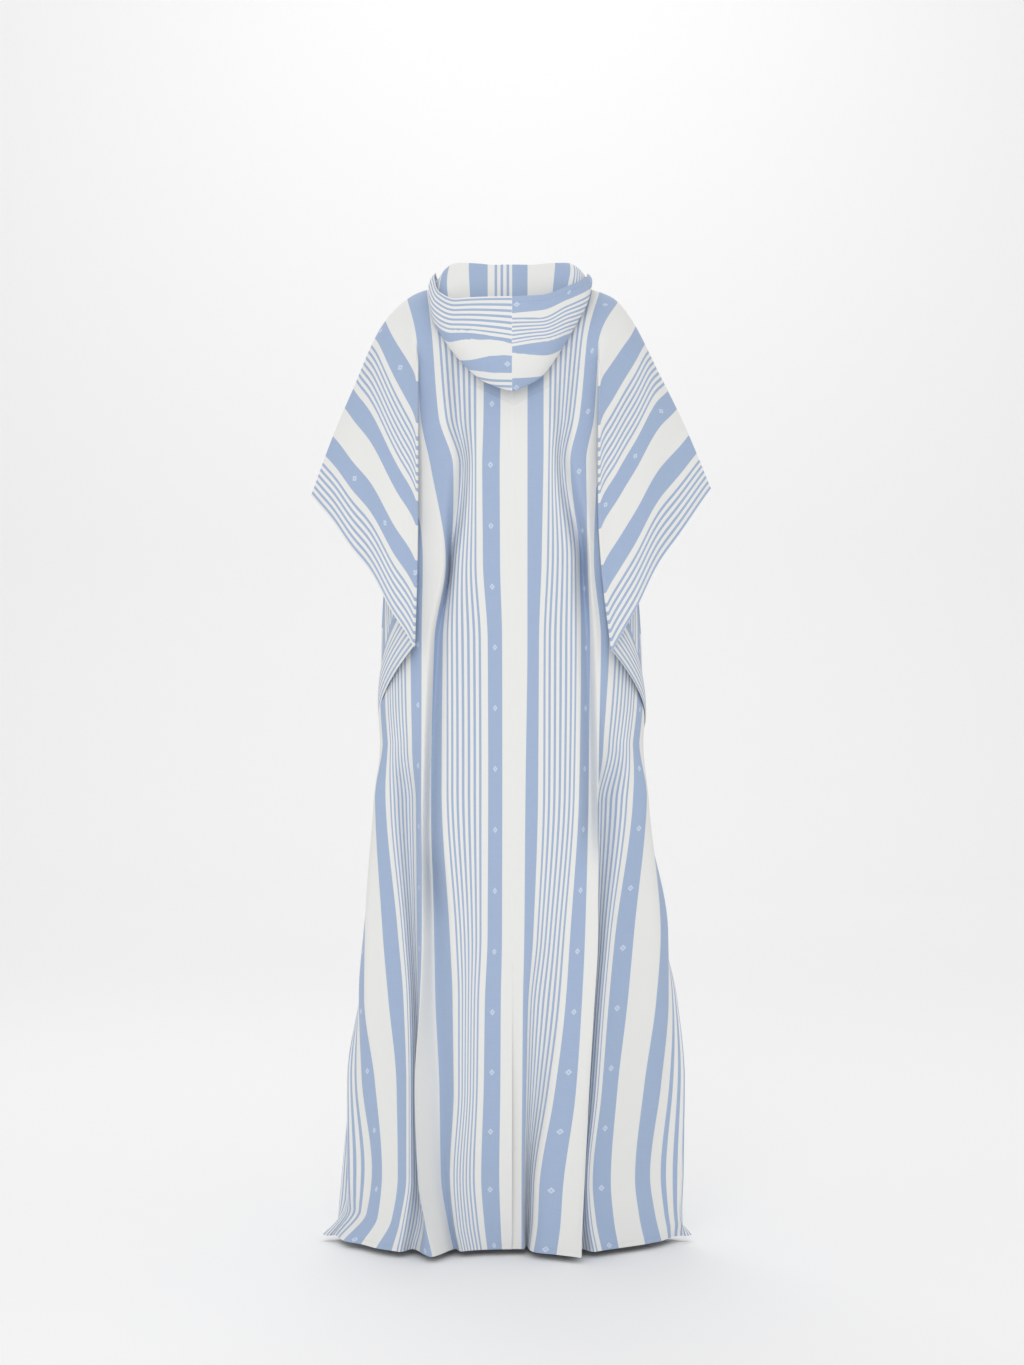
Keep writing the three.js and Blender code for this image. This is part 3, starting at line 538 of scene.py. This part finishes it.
def bodyPanel(name):
    panel = panels[name]
    u = threadPlaces(panel)
    points = panelPoints(panel, u)
    normals = gridNormals(points, -panel["side"] * panel["face"])
    rollRow = grid["wing"] + 1 + cloth["turnRows"] + grid["middle"] + 1
    normals[0, :, 0] = 0
    normals[u >= neck["halfWidth"], 0, 1] = 0
    normals[-1, rollRow:] = (panel["side"], 0, 0)
    normals /= np.linalg.norm(normals, axis=-1, keepdims=True)
    length = np.zeros(points.shape[:2])
    length[:, 1:] = np.cumsum(np.linalg.norm(np.diff(points, axis=1), axis=-1), axis=1)
    fromHem = length[:, -1:] - length
    knots, places = patternAt[panel["side"]]
    place = np.broadcast_to(np.interp(u, knots, places)[:, None], fromHem.shape)
    fromSleeve = np.broadcast_to((cloth["halfWidth"] - u)[:, None], fromHem.shape)
    maps = {"stripes": np.stack([place, fromHem], -1), "hems": np.stack([fromHem, fromSleeve], -1)}
    piece = wallMesh(name + "_cloth", points, normals, cloth["wall"], maps, clothMaterial)
    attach(piece, "root")
    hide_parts(name)


for name in panels:
    bodyPanel(name)
    print("panel made", name)

bandRow = table("angle", "first", "second", "third", "fourth", "fifth", "sixth")

# The hood hangs down the back as an open bag; its profile is given at angles round the neck.
profileRow = table("angle", "rollOut", "rollZ", "innerOut", "bottomOut", "bottomZ", "outerOut", "rimOut", "rimZ")
hood = {
    "angles": 120, "steps": 110, "standGap": 1.3, "insideStart": {1: 122, -1: 168}, "insideEnds": 5.1,
    # distance from the rim at which each band of the cloth ends, and those ends' places in the stripes
    "bands": {
        1: bandRow((0, 2, 64, 68, 74, 92, 119), (8, 2, 60, 64, 69, 92, 119), (23, 2, 54, 57, 66, 99, 115),
                   (42, 2, 50, 54, 71, 101, 118), (64, 2, 38, 42, 58, 84, 100), (168, 2, 30, 33, 45, 60, 80)),
        -1: bandRow((0, 27, 34, 76, 79, 88, 128), (16, 24, 36, 70, 73, 94, 128), (32, 21, 30, 70, 74, 98, 128),
                    (48, 20, 28, 74, 78, 100, 130), (168, 16, 22, 50, 54, 70, 90)),
    },
    "bandPlaces": {1: (152, 149, 89, 78, 46, 0, -32, -112), -1: (192, 160, 149, 89, 78, 46, 0, -80)},
    "profiles": {
        1: profileRow(
            (0, 4, 22, 42, 56, -180, 84, 72, -36), (16, 4, 22, 44, 58, -165, 84, 72, -36),
            (32, 5, 25, 44, 60, -130, 82, 70, -36), (48, 6, 28, 56, 66, -76, 74, 62, -22),
            (64, 7, 30, 42, 52, -20, 56, 47, 4), (82, 8, 29, 16, 32, 6, 38, 33, 18),
            (110, 8, 18, 14, 28, -6, 34, 29, 4), (140, 7, 0, 12, 24, -23, 29, 25, -13),
            (168, 6, -12, 11, 20, -34, 25, 21, -25)),
        -1: profileRow(
            (0, 4, 22, 42, 56, -180, 84, 72, -36), (16, 4, 22, 42, 55, -160, 80, 70, -33),
            (32, 5, 25, 42, 52, -112, 72, 64, -18), (48, 6, 28, 50, 57, -52, 62, 54, -4),
            (64, 7, 30, 40, 46, -10, 50, 42, 8), (82, 8, 29, 16, 30, 8, 36, 31, 17),
            (110, 8, 18, 14, 28, -6, 34, 29, 4), (140, 7, 0, 12, 24, -23, 29, 25, -13),
            (168, 6, -12, 11, 20, -34, 25, 21, -25)),
    },
}


def hoodPoints(side):
    # upright sections round the neck, each a smooth curve through nine points: neckline, roll, inside of the
    # bag, its bottom, its outside and the rim
    profiles = hood["profiles"][side]
    degrees = np.linspace(0, profiles["angle"][-1], hood["angles"])
    angle = np.radians(degrees)
    headX, headY = np.sin(angle), np.cos(angle)
    depth = np.where(headY > 0, neck["backDepth"], neck["frontDepth"])
    drop = np.where(headY > 0, neck["backDrop"], neck["frontDrop"]) * headY**2
    footX, footY = overarm["left"]["x"][0] * headX, depth * headY
    footZ = neck["shoulderZ"] - drop + hood["standGap"]
    size = {name: along(profiles, "angle", name, degrees) for name in profiles}
    tall = size["rollZ"] - size["bottomZ"]
    outs = [0 * angle, size["rollOut"] * 0.6, size["rollOut"] + 3, mix(size["rollOut"], size["innerOut"], 0.55),
            size["innerOut"], mix(size["innerOut"], size["bottomOut"], 0.5), size["bottomOut"] + 3,
            size["outerOut"], size["rimOut"]]
    heights = [footZ, mix(footZ, size["rollZ"], 0.7), size["rollZ"], size["rollZ"] - 0.2 * tall,
               size["bottomZ"] + 0.35 * tall, size["bottomZ"] + 0.06 * tall, size["bottomZ"],
               mix(size["bottomZ"], size["rimZ"], 0.4), size["rimZ"]]
    v = np.linspace(0, 8, hood["steps"])
    points = np.empty((hood["angles"], hood["steps"], 3))
    for i in range(hood["angles"]):
        rows = {"v": np.arange(9.0), "out": np.array([o[i] for o in outs]), "z": np.array([h[i] for h in heights])}
        out = along(rows, "v", "out", v)
        points[i, :, 0] = side * (footX[i] + headX[i] * out + (cloth["halfGap"] if i == 0 else 0))
        points[i, :, 1] = footY[i] + headY[i] * out
        points[i, :, 2] = along(rows, "v", "z", v)
    return points, v


def hoodHalf(name, side):
    points, v = hoodPoints(side)
    normals = gridNormals(points, side)
    normals[0, :, 0] = 0
    normals[:, 0, 2] = 0
    normals /= np.linalg.norm(normals, axis=-1, keepdims=True)
    down = np.zeros(points.shape[:2])
    down[:, 1:] = np.cumsum(np.linalg.norm(np.diff(points, axis=1), axis=-1), axis=1)
    around = np.zeros(points.shape[:2])
    around[1:] = np.cumsum(np.linalg.norm(np.diff(points, axis=0), axis=-1), axis=0)
    fromRim = down[:, -1:] - down
    # outer wall: stripes level with the rim, tapered as the photo shows; inner wall: stripes down from the neck
    bands = hood["bands"][side]
    degrees = np.linspace(0, hood["profiles"][side]["angle"][-1], hood["angles"])
    ends = np.stack([0 * degrees, *(along(bands, "angle", band, degrees) for band in bands if band != "angle")], -1)
    outside = np.stack([np.interp(fromRim[i], [*ends[i], ends[i, -1] + 80], hood["bandPlaces"][side])
                        for i in range(hood["angles"])])
    inside = around + hood["insideStart"][side]
    turned = v[None, :] < hood["insideEnds"]
    place = np.where(turned, inside, outside)
    maps = {"stripes": np.stack([place, np.where(turned, down, around)], -1),
            "hems": np.stack([fromRim, 0 * fromRim + 200], -1)}
    piece = wallMesh(name + "_cloth", points, normals, cloth["wall"], maps, clothMaterial)
    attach(piece, "root")
    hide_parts(name)


hoodHalf("hood_left", 1)
hoodHalf("hood_right", -1)
print("hood made")

stage = {
    "floorZ": -1.522, "cameraY": 4.2, "cameraZ": -0.625, "lens": 36 * 4200 / 2150,
    "sweep": {"near": 14.0, "far": -7.4, "radius": 1.6, "top": 7.0, "halfWidth": 14.0},
    "paper": (0.93, 0.93, 0.93, 1), "sky": (1.0, 1.0, 1.0, 1), "skyStrength": 0.80,
    # name, place, target, size, power
    "lamps": (("key", (0.5, 4.6, 0.9), (0, 0, -0.75), 2.4, 50), ("back", (0.4, -2.2, 2.2), (0, 0, -0.75), 2.0, 22),
              ("wash", (0, -5.8, 3.6), (0, -9.0, 0.2), 3.0, 40)),
}


def studio():
    # paper sweep: floor, a quarter turn and a wall as one strip
    sweep = stage["sweep"]
    turn = np.linspace(0, math.pi / 2, 24)
    ys = np.concatenate([[sweep["near"]], sweep["far"] - np.sin(turn) * sweep["radius"],
                         [sweep["far"] - sweep["radius"]]])
    zs = stage["floorZ"] + np.concatenate([[0], (1 - np.cos(turn)) * sweep["radius"], [sweep["top"]]])
    verts = [(x, y, z) for y, z in zip(ys, zs) for x in (-sweep["halfWidth"], sweep["halfWidth"])]
    faces = [(2 * i, 2 * i + 1, 2 * i + 3, 2 * i + 2) for i in range(len(ys) - 1)]
    mesh = bpy.data.meshes.new("sweep")
    mesh.from_pydata(verts, [], faces)
    mesh.shade_smooth()
    paper = bpy.data.materials.new("paper")
    paper.use_nodes = True
    paper.node_tree.nodes["Principled BSDF"].inputs["Base Color"].default_value = stage["paper"]
    paper.node_tree.nodes["Principled BSDF"].inputs["Roughness"].default_value = 0.9
    mesh.materials.append(paper)
    floor = bpy.data.objects.new("floor", mesh)
    bpy.context.scene.collection.objects.link(floor)
    world = bpy.data.worlds.new("studio")
    bpy.context.scene.world = world
    world.use_nodes = True
    world.node_tree.nodes["Background"].inputs[0].default_value = stage["sky"]
    world.node_tree.nodes["Background"].inputs[1].default_value = stage["skyStrength"]
    for name, place, target, size, power in stage["lamps"]:
        light = bpy.data.lights.new(name, "AREA")
        light.size, light.energy = size, power
        lamp = bpy.data.objects.new(name, light)
        bpy.context.scene.collection.objects.link(lamp)
        lamp.location = place
        lamp.visible_camera = False
        aim = np.array(target) - np.array(place)
        lamp.rotation_euler = (math.atan2(math.hypot(aim[0], aim[1]), -aim[2]), 0, math.atan2(-aim[0], aim[1]))
    camera = bpy.data.cameras.new("camera")
    camera.lens = stage["lens"]
    eye = bpy.data.objects.new("camera", camera)
    bpy.context.scene.collection.objects.link(eye)
    eye.location = (0, stage["cameraY"], stage["cameraZ"])
    eye.rotation_euler = (math.pi / 2, 0, math.pi)
    bpy.context.scene.camera = eye
    bpy.context.scene.view_settings.view_transform = "Standard"


studio()
